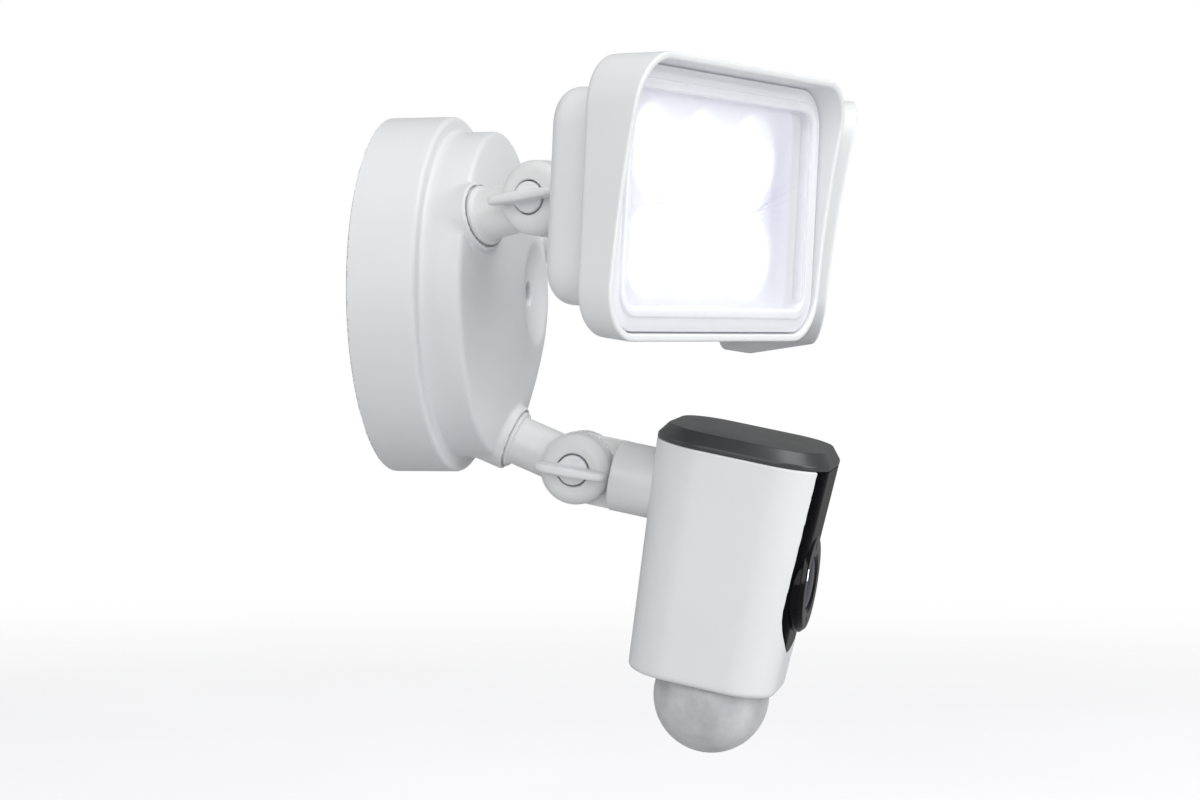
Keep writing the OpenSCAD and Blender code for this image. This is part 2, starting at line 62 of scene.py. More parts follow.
NODES = frame["nodes"]
MM = 0.001

# ---- Driving dimensions, in millimetres, as the CAD part has them ----
CANOPY_R, CANOPY_D = 62.0, 23.5
DRUM_R, DRUM_D = 56.6, 37.7
HUB_R, HUB_D, HUB_DISH = 17.5, 50.4, 2.9
CANOPY_WALL = 2.5
GASKET_T, LIP_T = 1.0, 1.1
BOSS_R, BOSS_L, BOSS_ROOT, SHANK_R = 11.6, 18.0, 24.0, 7.0
HUB_RECESS_R, HUB_RECESS_D, HUB_BORE_R, HUB_POST_R = 4.3, 7.0, 2.2, 7.0
ARM_L, ARM_R, SHANK_L = 25.0, 8.5, 24.0
FLANGE_R, FLANGE_T, FLANGE_SEAT = 10.0, 2.0, 0.9
GAP = 0.3
KNUCKLE_R, CHEEK_T, CHEEK_EDGE = 12.3, 11.0, 4.2
RECESS_R, RECESS_D = 5.7, 3.0
SCREW_R, SCREW_END, NUT_W, NUT_FACE = 2.5, 8.7, 8.2, 5.4
KNOB_DISC_R = 5.2
TEETH, TEETH_INNER_R, TOOTH_H = 56, 11.0, 0.4
WING_L, WING_H, WING_T = 24.6, 8.0, 3.5
LAMP_WING_TURN, CAMERA_WING_TURN = 5.0, -14.0
LINK_R = 12.3
LAMP_PITCH, LAMP_BACK, FRAME_BACK, RIM_D = 3.8, 33.0, 55.0, 71.6
LAMP_W, LAMP_H, FRAME_R, FRAME_WALL = 135.0, 86.5, 16.0, 2.4
VISOR_ANGLE, RIM_DIP, FRAME_DRAFT = 6.0, 2.0, 0.9
HOUSING_W, HOUSING_H, HOUSING_R, HOUSING_EDGE = 105.0, 67.0, 12.0, 8.0
LENS_FOOT, LENS_Z, LENS_T, WINDOW_W, WINDOW_H = 61.0, 64.0, 2.0, 113.0, 67.5
LED_PITCH, LED_COLS, LED_ROWS, CHIP_R = 31.0, 3, 2, 3.4
TRAY_W, TRAY_Z, TRAY_D, CUP_R, CUP_ROOT_R = 99.0, 44.0, 15.0, 14.4, 3.6
GLOW_W, GLOW_H = 47.0, 34.0
CAMERA_PITCH, CAMERA_REACH, CAMERA_RISE = 11.5, 57.2, 18.0
CAMERA_W, CAMERA_DEPTH, CAMERA_H, CAMERA_R, CAMERA_TAPER = 56.0, 60.0, 80.0, 18.0, 0.86
SHELL_T, CAP_H, CAP_INSET = 2.2, 5.8, 3.2
PANEL_TOP_W, PANEL_R, PANEL_Z = 19.2, 18.2, -47.0
EYE_Z, BEZEL_R, BEZEL_OUT, BARREL_R, GLASS_R = -40.4, 17.2, 2.0, 7.2, 9.0
WINDOW_RING, STATUS_ANGLE, STATUS_W, STATUS_L = 13.4, 160.0, 1.6, 4.2
INFRARED_R, INFRARED_RING = 1.6, 12.8
DOME_R, DOME_DROP, DOME_FORWARD, DOME_NECK_R = 20.0, 6.0, 3.0, 18.4
DOME_WALL, DOME_NECK_WALL = 1.2, 1.6


# ---- Frames of the sub-parts, as 4x4 matrices from local millimetres to row metres ----

def frame_of(origin, x, y, z):
    matrix = Matrix.Identity(4)
    for column, vector in enumerate((x, y, z)):
        matrix.col[column][:3] = vector * MM
    matrix.col[3][:3] = origin
    return matrix


def arm_frame(name):
    """Local z runs out along the arm, and -x points at the knob."""
    swivel, tilt = JOINTS[name + "_swivel"], JOINTS[name + "_tilt"]
    z, x = Vector(swivel["axis"]).normalized(), -Vector(tilt["axis"]).normalized()
    return frame_of(Vector(swivel["pos_m"]), x, z.cross(x), z)


def link_frame(name, pitch):
    """Local z runs out of the knuckle, at that pitch below the horizontal."""
    rise = asin(Vector(JOINTS[name + "_swivel"]["axis"]).normalized().z)
    out = Matrix.Translation((0, 0, ARM_L))
    return arm_frame(name) @ out @ Matrix.Rotation(radians(pitch) + rise, 4, "X")


WALL = frame_of(Vector((0, 0, 0)), Vector((1, 0, 0)), Vector((0, 0, 1)), Vector((0, -1, 0)))
LAMP_ARM = arm_frame("left")
LAMP = link_frame("left", LAMP_PITCH)
CAMERA_ARM = arm_frame("camera")
CAMERA_LINK = link_frame("camera", CAMERA_PITCH)
CAMERA = (CAMERA_LINK @ Matrix.Rotation(-pi / 2, 4, "X")
          @ Matrix.Translation((0, -CAMERA_REACH, CAMERA_RISE)))
FRONT_LEAN = atan2((1 - CAMERA_TAPER) * CAMERA_DEPTH / 2, CAMERA_H)
FRONT_Y = CAMERA_DEPTH / 2 * (1 + (1 - CAMERA_TAPER) * EYE_Z / CAMERA_H)
PANEL = (CAMERA @ Matrix.Translation((0, -FRONT_Y, EYE_Z))
         @ Matrix.Rotation(pi / 2 - FRONT_LEAN, 4, "X"))
MIRROR = Matrix.Diagonal((-1, 1, 1, 1))


# ---- Making pieces ----

def new_piece(name, vertices, faces, place, material, normals=None, smooth=True):
    mesh = bpy.data.meshes.new(name)
    mesh.from_pydata([tuple(v) for v in vertices], [], [tuple(int(i) for i in f) for f in faces])
    mesh.polygons.foreach_set("use_smooth", [smooth] * len(mesh.polygons))
    mesh.materials.append(material)
    mesh.update()
    if normals is not None:
        mesh.normals_split_custom_set_from_vertices([tuple(n) for n in normals])
    mesh.transform(place)
    if place.determinant() < 0:
        mesh.flip_normals()
    piece = bpy.data.objects.new(name, mesh)
    bpy.context.scene.collection.objects.link(piece)
    return piece


def install(piece, body, replaced=()):
    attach(piece, body)
    if replaced:
        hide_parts(*replaced)
    return piece


def sided(build, name, place, body, replaced):
    """Makes a lamp's piece on the left and its mirror image on the right."""
    for side, mirror in (("left", Matrix.Identity(4)), ("right", MIRROR)):
        piece = build(side + "_" + name, mirror @ place)
        install(piece, side + "_" + body, [side + "_" + n for n in replaced])


# ---- Distance fields: points are an (n, 3) array, and a field is negative inside ----

def blend_union(a, b, k):
    h = np.clip(0.5 + 0.5 * (b - a) / k, 0, 1)
    return b * (1 - h) + a * h - k * h * (1 - h)


def blend_cut(a, b, k):
    """a without b, with the new edge rounded."""
    return -blend_union(-a, b, k)


def blend_common(a, b, k):
    return -blend_union(-a, -b, k)


def rod(p, axis, radius, low, high, edge=1.0, centre=(0, 0)):
    """Round rod along a local axis, with rounded rims."""
    across = [i for i in range(3) if i != axis]
    r = np.hypot(p[:, across[0]] - centre[0], p[:, across[1]] - centre[1]) - radius + edge
    h = np.abs(p[:, axis] - (low + high) / 2) - (high - low) / 2 + edge
    return np.hypot(np.maximum(r, 0), np.maximum(h, 0)) + np.minimum(np.maximum(r, h), 0) - edge


def rounded_rect(x, y, w, h, r):
    dx, dy = np.abs(x) - w / 2 + r, np.abs(y) - h / 2 + r
    return np.hypot(np.maximum(dx, 0), np.maximum(dy, 0)) + np.minimum(np.maximum(dx, dy), 0) - r


def slab(p, axis, low, high):
    return np.abs(p[:, axis] - (low + high) / 2) - (high - low) / 2


def gradient(field, p, step=0.02):
    g = np.empty_like(p)
    for i in range(3):
        d = np.zeros(3)
        d[i] = step
        g[:, i] = (field(p + d) - field(p - d)) / (2 * step)
    return g


def grid_values(field, low, counts, cell):
    """Field values on a grid, one layer of x at a time."""
    y, z = (low[i] + cell * np.arange(counts[i]) for i in (1, 2))
    layer = np.stack(np.meshgrid([0.0], y, z, indexing="ij"), -1).reshape(-1, 3)
    values = np.empty(counts)
    for i in range(counts[0]):
        layer[:, 0] = low[0] + cell * i
        values[i] = field(layer).reshape(counts[1:])
    return values


CORNERS = np.array([(i, j, k) for i in (0, 1) for j in (0, 1) for k in (0, 1)])
EDGES = [(a, b) for a in range(8) for b in range(a + 1, 8)
         if np.abs(CORNERS[a] - CORNERS[b]).sum() == 1]


def surface(field, low, high, cell):
    """Closed quad mesh on the zero of a field, with its normals."""
    low = np.array(low, float)
    counts = np.ceil((np.array(high) - low) / cell).astype(int) + 1
    values = grid_values(field, low, counts, cell)
    inside = values < 0
    span = [n - 1 for n in counts]
    corner = [inside[i:i + span[0], j:j + span[1], k:k + span[2]] for i, j, k in CORNERS]
    filled = sum(c.astype(np.int8) for c in corner)
    cells = np.argwhere((filled > 0) & (filled < 8))
    index = np.full(span, -1)
    index[tuple(cells.T)] = np.arange(len(cells))
    v = np.stack([values[tuple((cells + c).T)] for c in CORNERS], 1)
    total, count = np.zeros((len(cells), 3)), np.zeros(len(cells))
    for a, b in EDGES:
        cross = (v[:, a] < 0) != (v[:, b] < 0)
        t = v[cross, a] / (v[cross, a] - v[cross, b])
        total[cross] += CORNERS[a] + t[:, None] * (CORNERS[b] - CORNERS[a])
        count[cross] += 1
    points = low + cell * (cells + total / count[:, None])
    quads = []
    for axis in range(3):
        j, k = (axis + 1) % 3, (axis + 2) % 3
        head, tail = [slice(None)] * 3, [slice(None)] * 3
        head[axis], tail[axis] = slice(1, None), slice(None, -1)
        first, second = inside[tuple(tail)], inside[tuple(head)]
        edges = np.argwhere(first != second)
        step_j, step_k = np.eye(3, dtype=int)[j], np.eye(3, dtype=int)[k]
        ring = np.stack([index[tuple((edges - o).T)]
                         for o in (step_j + step_k, step_k, 0 * step_j, step_j)], 1)
        out = first[tuple(edges.T)]
        quads += [ring[out], ring[~out][:, ::-1]]
    for _ in range(4):
        g = gradient(field, points)
        move = -field(points)[:, None] * g / np.maximum((g * g).sum(1), 0.05)[:, None]
        length = np.linalg.norm(move, axis=1)
        points += move * np.minimum(1, 0.5 * cell / np.maximum(length, 1e-9))[:, None]
    normals = gradient(field, points)
    normals /= np.maximum(np.linalg.norm(normals, axis=1), 1e-9)[:, None]
    return points, np.concatenate(quads), normals


# ---- Swept profiles round a rounded rectangle, and lathes ----

def rect_point(w, h, r, t):
    """Point and outward normal at share t of the way round a rounded rectangle."""
    straight_x, straight_y, arc = w - 2 * r, h - 2 * r, pi * r / 2
    s = t * (2 * straight_x + 2 * straight_y + 4 * arc)
    corners = [(w / 2 - r, h / 2 - r, 0), (r - w / 2, h / 2 - r, 1),
               (r - w / 2, r - h / 2, 2), (w / 2 - r, r - h / 2, 3)]
    lengths = [straight_x, straight_y, straight_x, straight_y]
    for (cx, cy, quarter), length in zip(corners, lengths):
        if s <= arc:
            a = quarter * pi / 2 + s / r
            return (cx + r * cos(a), cy + r * sin(a)), (cos(a), sin(a))
        s -= arc
        if s <= length:
            a = (quarter + 1) * pi / 2
            start = (cx + r * cos(a), cy + r * sin(a))
            return (start[0] - s * sin(a), start[1] + s * cos(a)), (cos(a), sin(a))
        s -= length
    return rect_point(w, h, r, 0)


def rect_shares(w, h, r, arc_steps, side_steps):
    """Shares of the way round, with more of them on the corners."""
    arc = pi * r / 2
    total = 2 * (w - 2 * r) + 2 * (h - 2 * r) + 4 * arc
    shares, s = [], 0.0
    for length in (w - 2 * r, h - 2 * r, w - 2 * r, h - 2 * r):
        shares += [(s + arc * i / arc_steps) / total for i in range(arc_steps)]
        s += arc
        shares += [(s + length * i / side_steps) / total for i in range(side_steps)]
        s += length
    return shares


def fillet(points, radii, steps=5):
    """Outline with its inner corners rounded, as a list of (u, v) points."""
    out = [points[0]]
    for i in range(1, len(points) - 1):
        p, r = Vector(points[i]), radii[i]
        a, b = Vector(points[i - 1]) - p, Vector(points[i + 1]) - p
        if r <= 0 or a.length < 1e-6 or b.length < 1e-6:
            out.append(tuple(p))
            continue
        half = a.angle(b) / 2
        back = min(r / max(np.tan(half), 1e-3), 0.49 * a.length, 0.49 * b.length)
        start, end = p + a.normalized() * back, p + b.normalized() * back
        for k in range(steps + 1):
            t = k / steps
            out.append(tuple(start * (1 - t) ** 2 + p * 2 * t * (1 - t) + end * t ** 2))
    out.append(points[-1])
    return out


def swept(w, h, r, profile, closed, lift=None, arc_steps=10, side_steps=6):
    """Sweeps (inset, z) points round a rounded rectangle. An open profile ends in two flat lids.
    lift(x, y, z) may raise a point, as a slanted rim does."""
    shares = rect_shares(w, h, r, arc_steps, side_steps)
    rings, n = [], len(shares)
    for inset, z in profile:
        ring = []
        for t in shares:
            (x, y), _ = rect_point(w - 2 * inset, h - 2 * inset, max(r - inset, 0.6), t)
            ring.append((x, y, z + (lift(x, y, z) if lift else 0)))
        rings.append(ring)
    vertices = [p for ring in rings for p in ring]
    faces = []
    count = len(rings)
    for i in range(count if closed else count - 1):
        for j in range(n):
            a, b = i * n + j, i * n + (j + 1) % n
            c, d = ((i + 1) % count) * n + (j + 1) % n, ((i + 1) % count) * n + j
            faces.append((a, b, c, d))
    if not closed:
        faces.append(tuple(reversed(range(n))))
        faces.append(tuple(range((count - 1) * n, count * n)))
    return vertices, faces


def lathe(profile, steps=64):
    """Turns (radius, z) points about z. A radius of 0 closes that end."""
    vertices, faces, rows = [], [], []
    for r, z in profile:
        if r < 1e-6:
            rows.append([len(vertices)] * steps)
            vertices.append((0, 0, z))
        else:
            rows.append([len(vertices) + i for i in range(steps)])
            vertices += [(r * cos(2 * pi * i / steps), r * sin(2 * pi * i / steps), z)
                         for i in range(steps)]
    for lower, upper in zip(rows, rows[1:]):
        for i in range(steps):
            j = (i + 1) % steps
            face = [lower[i], lower[j], upper[j], upper[i]]
            faces.append(tuple(dict.fromkeys(face)))
    return vertices, [f for f in faces if len(f) > 2]


# ---- Materials ----

def material(name):
    made = bpy.data.materials.new(name)
    made.use_nodes = True
    nodes = made.node_tree.nodes
    shader = next(n for n in nodes if n.type == "BSDF_PRINCIPLED")
    return made, made.node_tree, shader


def add(tree, kind, **inputs):
    node = tree.nodes.new(kind)
    for key, value in inputs.items():
        node.inputs[key.replace("_", " ")].default_value = value
    return node


def coordinates(tree):
    return tree.nodes.new("ShaderNodeTexCoord").outputs["Object"]


def noise(tree, scale, detail=3.0, rough=0.5):
    node = add(tree, "ShaderNodeTexNoise", Scale=scale, Detail=detail, Roughness=rough)
    tree.links.new(coordinates(tree), node.inputs["Vector"])
    return node.outputs["Fac"]


def ramp(tree, value, stops):
    node = tree.nodes.new("ShaderNodeValToRGB")
    elements = node.color_ramp.elements
    while len(elements) < len(stops):
        elements.new(0.5)
    for element, (at, colour) in zip(elements, stops):
        element.position = at
        element.color = (*colour, 1) if len(colour) == 3 else colour
    tree.links.new(value, node.inputs["Fac"])
    return node.outputs["Color"]


def spread(tree, value, low, high):
    node = add(tree, "ShaderNodeMapRange")
    node.inputs["To Min"].default_value = low
    node.inputs["To Max"].default_value = high
    tree.links.new(value, node.inputs["Value"])
    return node.outputs["Result"]


def bump(tree, shader, height, strength, distance):
    node = add(tree, "ShaderNodeBump", Strength=strength, Distance=distance)
    tree.links.new(height, node.inputs["Height"])
    tree.links.new(node.outputs["Normal"], shader.inputs["Normal"])


def moulded(name, colour, roughness, grain=0.12, variation=0.012, specular=0.5):
    """Moulded plastic: a spark-eroded grain, slow tone changes and uneven gloss."""
    made, tree, shader = material(name)
    tone = noise(tree, 28, 4)
    lighter = [min(1, c * (1 + variation)) for c in colour]
    darker = [c * (1 - variation) for c in colour]
    tree.links.new(ramp(tree, tone, [(0.3, darker), (0.7, lighter)]), shader.inputs["Base Color"])
    fine = noise(tree, 2600, 2, 0.6)
    tree.links.new(spread(tree, noise(tree, 160, 3), roughness - 0.04, roughness + 0.05),
                   shader.inputs["Roughness"])
    bump(tree, shader, fine, grain, 0.00006)
    shader.inputs["Specular IOR Level"].default_value = specular
    return made


def metal(name, colour, roughness, streaks=900):
    made, tree, shader = material(name)
    stretched = add(tree, "ShaderNodeMapping")
    stretched.inputs["Scale"].default_value = (1, 14, 1)
    tree.links.new(coordinates(tree), stretched.inputs["Vector"])
    grain = add(tree, "ShaderNodeTexNoise", Scale=streaks, Detail=4.0, Roughness=0.6)
    tree.links.new(stretched.outputs["Vector"], grain.inputs["Vector"])
    darker = [c * 0.82 for c in colour]
    tree.links.new(ramp(tree, grain.outputs["Fac"], [(0.3, darker), (0.7, colour)]),
                   shader.inputs["Base Color"])
    tree.links.new(spread(tree, grain.outputs["Fac"], roughness - 0.08, roughness + 0.1),
                   shader.inputs["Roughness"])
    bump(tree, shader, grain.outputs["Fac"], 0.15, 0.00004)
    shader.inputs["Metallic"].default_value = 1.0
    return made


def circuit_board(name, mask, copper):
    """Solder mask over a grid of tracks, with small pads."""
    made, tree, shader = material(name)
    tracks = add(tree, "ShaderNodeTexBrick", Scale=95.0)
    tracks.inputs["Mortar Size"].default_value = 0.012
    tracks.inputs["Color1"].default_value = (*mask, 1)
    tracks.inputs["Color2"].default_value = (*[c * 1.25 for c in mask], 1)
    tracks.inputs["Mortar"].default_value = (*copper, 1)
    pads = add(tree, "ShaderNodeTexVoronoi", Scale=240.0)
    for node in (tracks, pads):
        tree.links.new(coordinates(tree), node.inputs["Vector"])
    mix = tree.nodes.new("ShaderNodeMix")
    mix.data_type = "RGBA"
    mask_of_pads = ramp(tree, pads.outputs["Distance"], [(0.1, (1, 1, 1)), (0.16, (0, 0, 0))])
    tree.links.new(mask_of_pads, mix.inputs["Factor"])
    tree.links.new(tracks.outputs["Color"], mix.inputs["A"])
    mix.inputs["B"].default_value = (0.75, 0.75, 0.72, 1)
    tree.links.new(mix.outputs["Result"], shader.inputs["Base Color"])
    tree.links.new(spread(tree, tracks.outputs["Fac"], 0.35, 0.25), shader.inputs["Roughness"])
    bump(tree, shader, pads.outputs["Distance"], 0.2, 0.0001)
    return made


def clear_plastic(name, tint, rim_glow_colour):
    """Clear polycarbonate: see-through in the window, and a milky rim around it with a painted glow.
    """
    made, tree, shader = material(name)
    rim = tree.nodes.new("ShaderNodeAttribute")
    rim.attribute_name = "rim"
    facing = add(tree, "ShaderNodeLayerWeight", Blend=0.3)
    window = spread(tree, facing.outputs["Facing"], 0.03, 0.22)
    alpha = tree.nodes.new("ShaderNodeMix")
    tree.links.new(rim.outputs["Fac"], alpha.inputs["Factor"])
    tree.links.new(window, alpha.inputs["A"])
    alpha.inputs["B"].default_value = 0.72
    tree.links.new(alpha.outputs["Result"], shader.inputs["Alpha"])
    flow = noise(tree, 60, 3)
    tree.links.new(ramp(tree, flow, [(0.3, tint), (0.7, [c * 0.97 for c in tint])]),
                   shader.inputs["Base Color"])
    tree.links.new(spread(tree, flow, 0.1, 0.16), shader.inputs["Roughness"])
    # painted light: a faint lavender emission on the rim stands in for the lamp's light inside it
    tree.links.new(ramp(tree, rim.outputs["Fac"], [(0.0, (0, 0, 0)), (1.0, rim_glow_colour)]),
                   shader.inputs["Emission Color"])
    shader.inputs["Emission Strength"].default_value = 0.12
    shader.inputs["Specular IOR Level"].default_value = 0.5
    return made


def glowing_reflector(name):
    """Mirror-bright cups, with the light of their emitters painted on as an emission that fills each
    cup.
    """
    made, tree, shader = material(name)
    shader.inputs["Metallic"].default_value = 0.6
    tone = ramp(tree, noise(tree, 70, 3), [(0.3, (0.3, 0.3, 0.37)), (0.7, (0.38, 0.38, 0.44))])
    tree.links.new(tone, shader.inputs["Base Color"])
    glow = tree.nodes.new("ShaderNodeAttribute")
    glow.attribute_name = "glow"
    # painted light: the emission colour stands in for the emitters' light in the cups, lavender where
    # it fades
    tree.links.new(ramp(tree, glow.outputs["Fac"],
                        [(0.0, (0.36, 0.36, 0.46)), (0.25, (0.62, 0.62, 0.7)),
                         (0.55, (0.95, 0.95, 0.97)), (1.0, (1.0, 1.0, 1.0))]),
                   shader.inputs["Emission Color"])
    shader.inputs["Emission Strength"].default_value = 0.95
    tree.links.new(spread(tree, noise(tree, 400, 2), 0.3, 0.4), shader.inputs["Roughness"])
    return made


def emitter(name, colour, strength):
    made, tree, shader = material(name)
    cells = add(tree, "ShaderNodeTexVoronoi", Scale=1400.0)
    tree.links.new(coordinates(tree), cells.inputs["Vector"])
    tree.links.new(ramp(tree, cells.outputs["Distance"],
                        [(0.0, colour), (1.0, [c * 0.8 for c in colour])]),
                   shader.inputs["Emission Color"])
    shader.inputs["Emission Strength"].default_value = strength
    shader.inputs["Base Color"].default_value = (*colour, 1)
    return made


def milky_dome(name):
    """Thin translucent polyethylene with soft clouds and the faint cells of its lens array."""
    made, tree, shader = material(name)
    clouds = noise(tree, 75, 5, 0.6)
    tree.links.new(ramp(tree, clouds, [(0.28, (0.44, 0.445, 0.455)), (0.5, (0.57, 0.575, 0.585)),
                                       (0.72, (0.68, 0.685, 0.69))]),
                   shader.inputs["Base Color"])
    cells = add(tree, "ShaderNodeTexVoronoi", Scale=140.0)
    cells.feature = "DISTANCE_TO_EDGE"
    tree.links.new(coordinates(tree), cells.inputs["Vector"])
    ridges = ramp(tree, cells.outputs["Distance"], [(0.0, (0, 0, 0)), (0.08, (1, 1, 1))])
    bump(tree, shader, ridges, 0.12, 0.0002)
    tree.links.new(spread(tree, clouds, 0.3, 0.42), shader.inputs["Roughness"])
    shader.inputs["Subsurface Weight"].default_value = 0.35
    shader.inputs["Subsurface Radius"].default_value = (1.0, 0.95, 0.9)
    shader.inputs["Subsurface Scale"].default_value = 0.004
    return made


def gloss_black(name, colour, roughness, specular=0.1):
    """Deep gloss with the faintest waviness and dust in its coat."""
    made, tree, shader = material(name)
    wave = noise(tree, 35, 2)
    tree.links.new(ramp(tree, wave, [(0.3, colour), (0.7, [c * 1.3 for c in colour])]),
                   shader.inputs["Base Color"])
    tree.links.new(spread(tree, noise(tree, 500, 4), roughness * 0.6, roughness * 1.5),
                   shader.inputs["Roughness"])
    bump(tree, shader, wave, 0.03, 0.0003)
    shader.inputs["Specular IOR Level"].default_value = specular
    return made


WHITE = moulded("white_plastic", (0.75, 0.76, 0.77), 0.42)
ARM_WHITE = moulded("arm_plastic", (0.74, 0.75, 0.75), 0.36, 0.06)
KNOB_WHITE = moulded("knob_plastic", (0.76, 0.77, 0.78), 0.3, 0.04)
DARK = moulded("cap_plastic", (0.032, 0.034, 0.036), 0.32, 0.015, 0.04, 0.6)
BLACK = gloss_black("gloss_plastic", (0.003, 0.003, 0.004), 0.08, 0.012)
BEZEL_BLACK = gloss_black("bezel_plastic", (0.003, 0.003, 0.004), 0.1, 0.12)
RUBBER = moulded("rubber", (0.03, 0.03, 0.03), 0.7, 0.5, 0.1, 0.3)
SILICONE = moulded("silicone", (0.4, 0.4, 0.42), 0.5, 0.1, 0.03, 0.4)
FOAM = moulded("foam", (0.09, 0.09, 0.09), 0.9, 0.9, 0.2, 0.2)
ZINC = metal("zinc_plate", (0.72, 0.73, 0.76), 0.32)
ALUMINIUM = metal("aluminium", (0.78, 0.79, 0.8), 0.38, 500)
GREEN = moulded("green_paint", (0.03, 0.3, 0.08), 0.35)
PARTS = moulded("component_plastic", (0.05, 0.05, 0.055), 0.45, 0.2, 0.3)
BOARD = circuit_board("solder_mask", (0.012, 0.12, 0.04), (0.03, 0.22, 0.08))
WHITE_BOARD = circuit_board("white_mask", (0.75, 0.75, 0.74), (0.6, 0.55, 0.4))
CLEAR = clear_plastic("clear_plastic", (0.8, 0.81, 0.83), (0.84, 0.86, 0.95))
REFLECTOR = glowing_reflector("reflector")
LIT = emitter("lit_phosphor", (1.0, 0.98, 1.0), 4.0)
DOME = milky_dome("milky_dome")
GLASS = gloss_black("camera_glass", (0.01, 0.012, 0.03), 0.03)
INFRARED = gloss_black("infrared_window", (0.008, 0.004, 0.007), 0.1)
STATUS = emitter("status_window", (0.85, 0.92, 1.0), 1.2)


# ---- Canopy ----

ARM_PLACES = [WALL.inverted() @ place for place in (LAMP_ARM, CAMERA_ARM, MIRROR @ LAMP_ARM)]


def seen_from(place, p):
    """Points of one local frame as another frame sees them."""
    m = np.array(place.inverted())
    return p @ m[:3, :3].T + m[:3, 3]


def front_height(r):
    """Height of the canopy's front: a slightly domed cone, with a dish inside its hub."""
    t = np.clip((r - HUB_R) / (DRUM_R - HUB_R), 0, 1)
    cone = DRUM_D + (HUB_D - DRUM_D) * (1 - t ** 1.3)
    dish = HUB_D - HUB_DISH * (1 - (r / HUB_R) ** 2)
    return blend_union(cone, dish, 0.5)


FRONT_STRETCH = 1.08  # length of the front's steepest slope, for one of radius


def canopy_field(p):
    """Stepped shell with a slanted boss for each arm, hollow behind, and a recess in its hub."""
    r, d = np.hypot(p[:, 0], p[:, 1]), p[:, 2]
    wide = np.maximum(rod(p, 2, CANOPY_R, GAP - 1.2, CANOPY_D, 1.6), GAP - d)
    front = (d - front_height(r)) / FRONT_STRETCH
    drum = blend_common(blend_common(front, r - DRUM_R, 1.4), 5 - d, 0.5)
    body = blend_union(drum, wide, 1.2)
    bosses = None
    for place in ARM_PLACES:
        q = seen_from(place, p)
        boss = rod(q, 2, BOSS_R, -BOSS_ROOT, 0, 1.1)
        bosses = boss if bosses is None else np.minimum(bosses, boss)
    body = blend_union(body, np.maximum(bosses, 8 - d), 1.4)
    inner = np.maximum(np.maximum(r - DRUM_R + CANOPY_WALL, d - front_height(r) + CANOPY_WALL),
                       -10 - d)
    inner = np.minimum(inner, rod(p, 2, CANOPY_R - CANOPY_WALL, -10, CANOPY_D - CANOPY_WALL, 1))
    for place in ARM_PLACES:
        q = seen_from(place, p)
        inner = np.maximum(inner, -rod(q, 2, BOSS_R, -BOSS_L, 20, 0.5))
    inner = np.maximum(inner, -rod(p, 2, HUB_POST_R, CANOPY_D, 60, 0.5))
    body = blend_cut(body, inner, 0.5)
    body = blend_cut(body, rod(p, 2, CANOPY_R - LIP_T, -10, GASKET_T, 0.1), 0.2)
    for place in ARM_PLACES:
        q = seen_from(place, p)
        body = blend_cut(body, rod(q, 2, SHANK_R + 0.2, -BOSS_L - 2, 10, 0.1), 0.6)
        body = blend_cut(body, rod(q, 2, FLANGE_R + 0.5, -FLANGE_SEAT, 10, 0.1), 0.5)
    recess = rod(p, 2, HUB_RECESS_R, HUB_D - HUB_RECESS_D, HUB_D + 10, 0.2)
    body = blend_cut(body, recess, 0.8)
    return blend_cut(body, rod(p, 2, HUB_BORE_R, 10, HUB_D, 0.1), 0.4)


def make_canopy():
    reach = CANOPY_R + 2
    mesh = surface(canopy_field, (-reach, -reach, -2), (reach, reach, HUB_D + 3), 0.7)
    piece = new_piece("canopy_shell", mesh[0], mesh[1], WALL, WHITE, mesh[2])
    install(piece, "base", ["canopy"])


make_canopy()


# ---- Arms, links and knobs ----

def cheek(p, side):
    """Half of a knuckle about the local x axis. side is -1 for the knob's half."""
    x = side * p[:, 0]
    dome = rod(p, 0, KNUCKLE_R, -CHEEK_T, CHEEK_T, CHEEK_EDGE)
    return blend_common(dome, GAP / 2 - x, 0.4)


def arm_field(p):
    """Tube on a flanged shank, with the knob's half of the knuckle at its end."""
    at_pivot = p - (0, 0, ARM_L)
    tube = rod(p, 2, ARM_R, GAP, ARM_L, 0.4)
    flange = rod(p, 2, FLANGE_R, -0.6, FLANGE_T - 0.8, 0.5)
    body = blend_union(tube, flange, 1.2)
    body = blend_union(body, rod(p, 2, SHANK_R, -SHANK_L, 1, 0.5), 0.3)
    tube_end = blend_cut(body, rod(at_pivot, 0, KNUCKLE_R + 0.5, -GAP / 2, 30, 0.3), 0.4)
    body = blend_union(tube_end, cheek(at_pivot, -1), 1.0)
    return blend_cut(body, rod(at_pivot, 0, RECESS_R, -30, -CHEEK_T + RECESS_D, 0.3), 0.5)


def link_field(length):
    """The other half of the knuckle, with the nut's pocket, and a tube that runs to the head."""
    start = KNUCKLE_R + 0.7

    def field(p):
        half = np.maximum(rod(p, 2, LINK_R, -2, start + 3, 0.3), -p[:, 2])
        half = blend_common(half, GAP / 2 - p[:, 0], 0.5)
        tube = rod(p, 2, LINK_R, start, length, 0.8)
        body = blend_union(blend_union(cheek(p, 1), half, 0.8), tube, 0.3)
        nut = rounded_rect(p[:, 1], p[:, 2], NUT_W, NUT_W, 0.5)
        nut = np.maximum(nut, NUT_FACE - p[:, 0])
        return blend_cut(body, nut, 0.5)
    return field


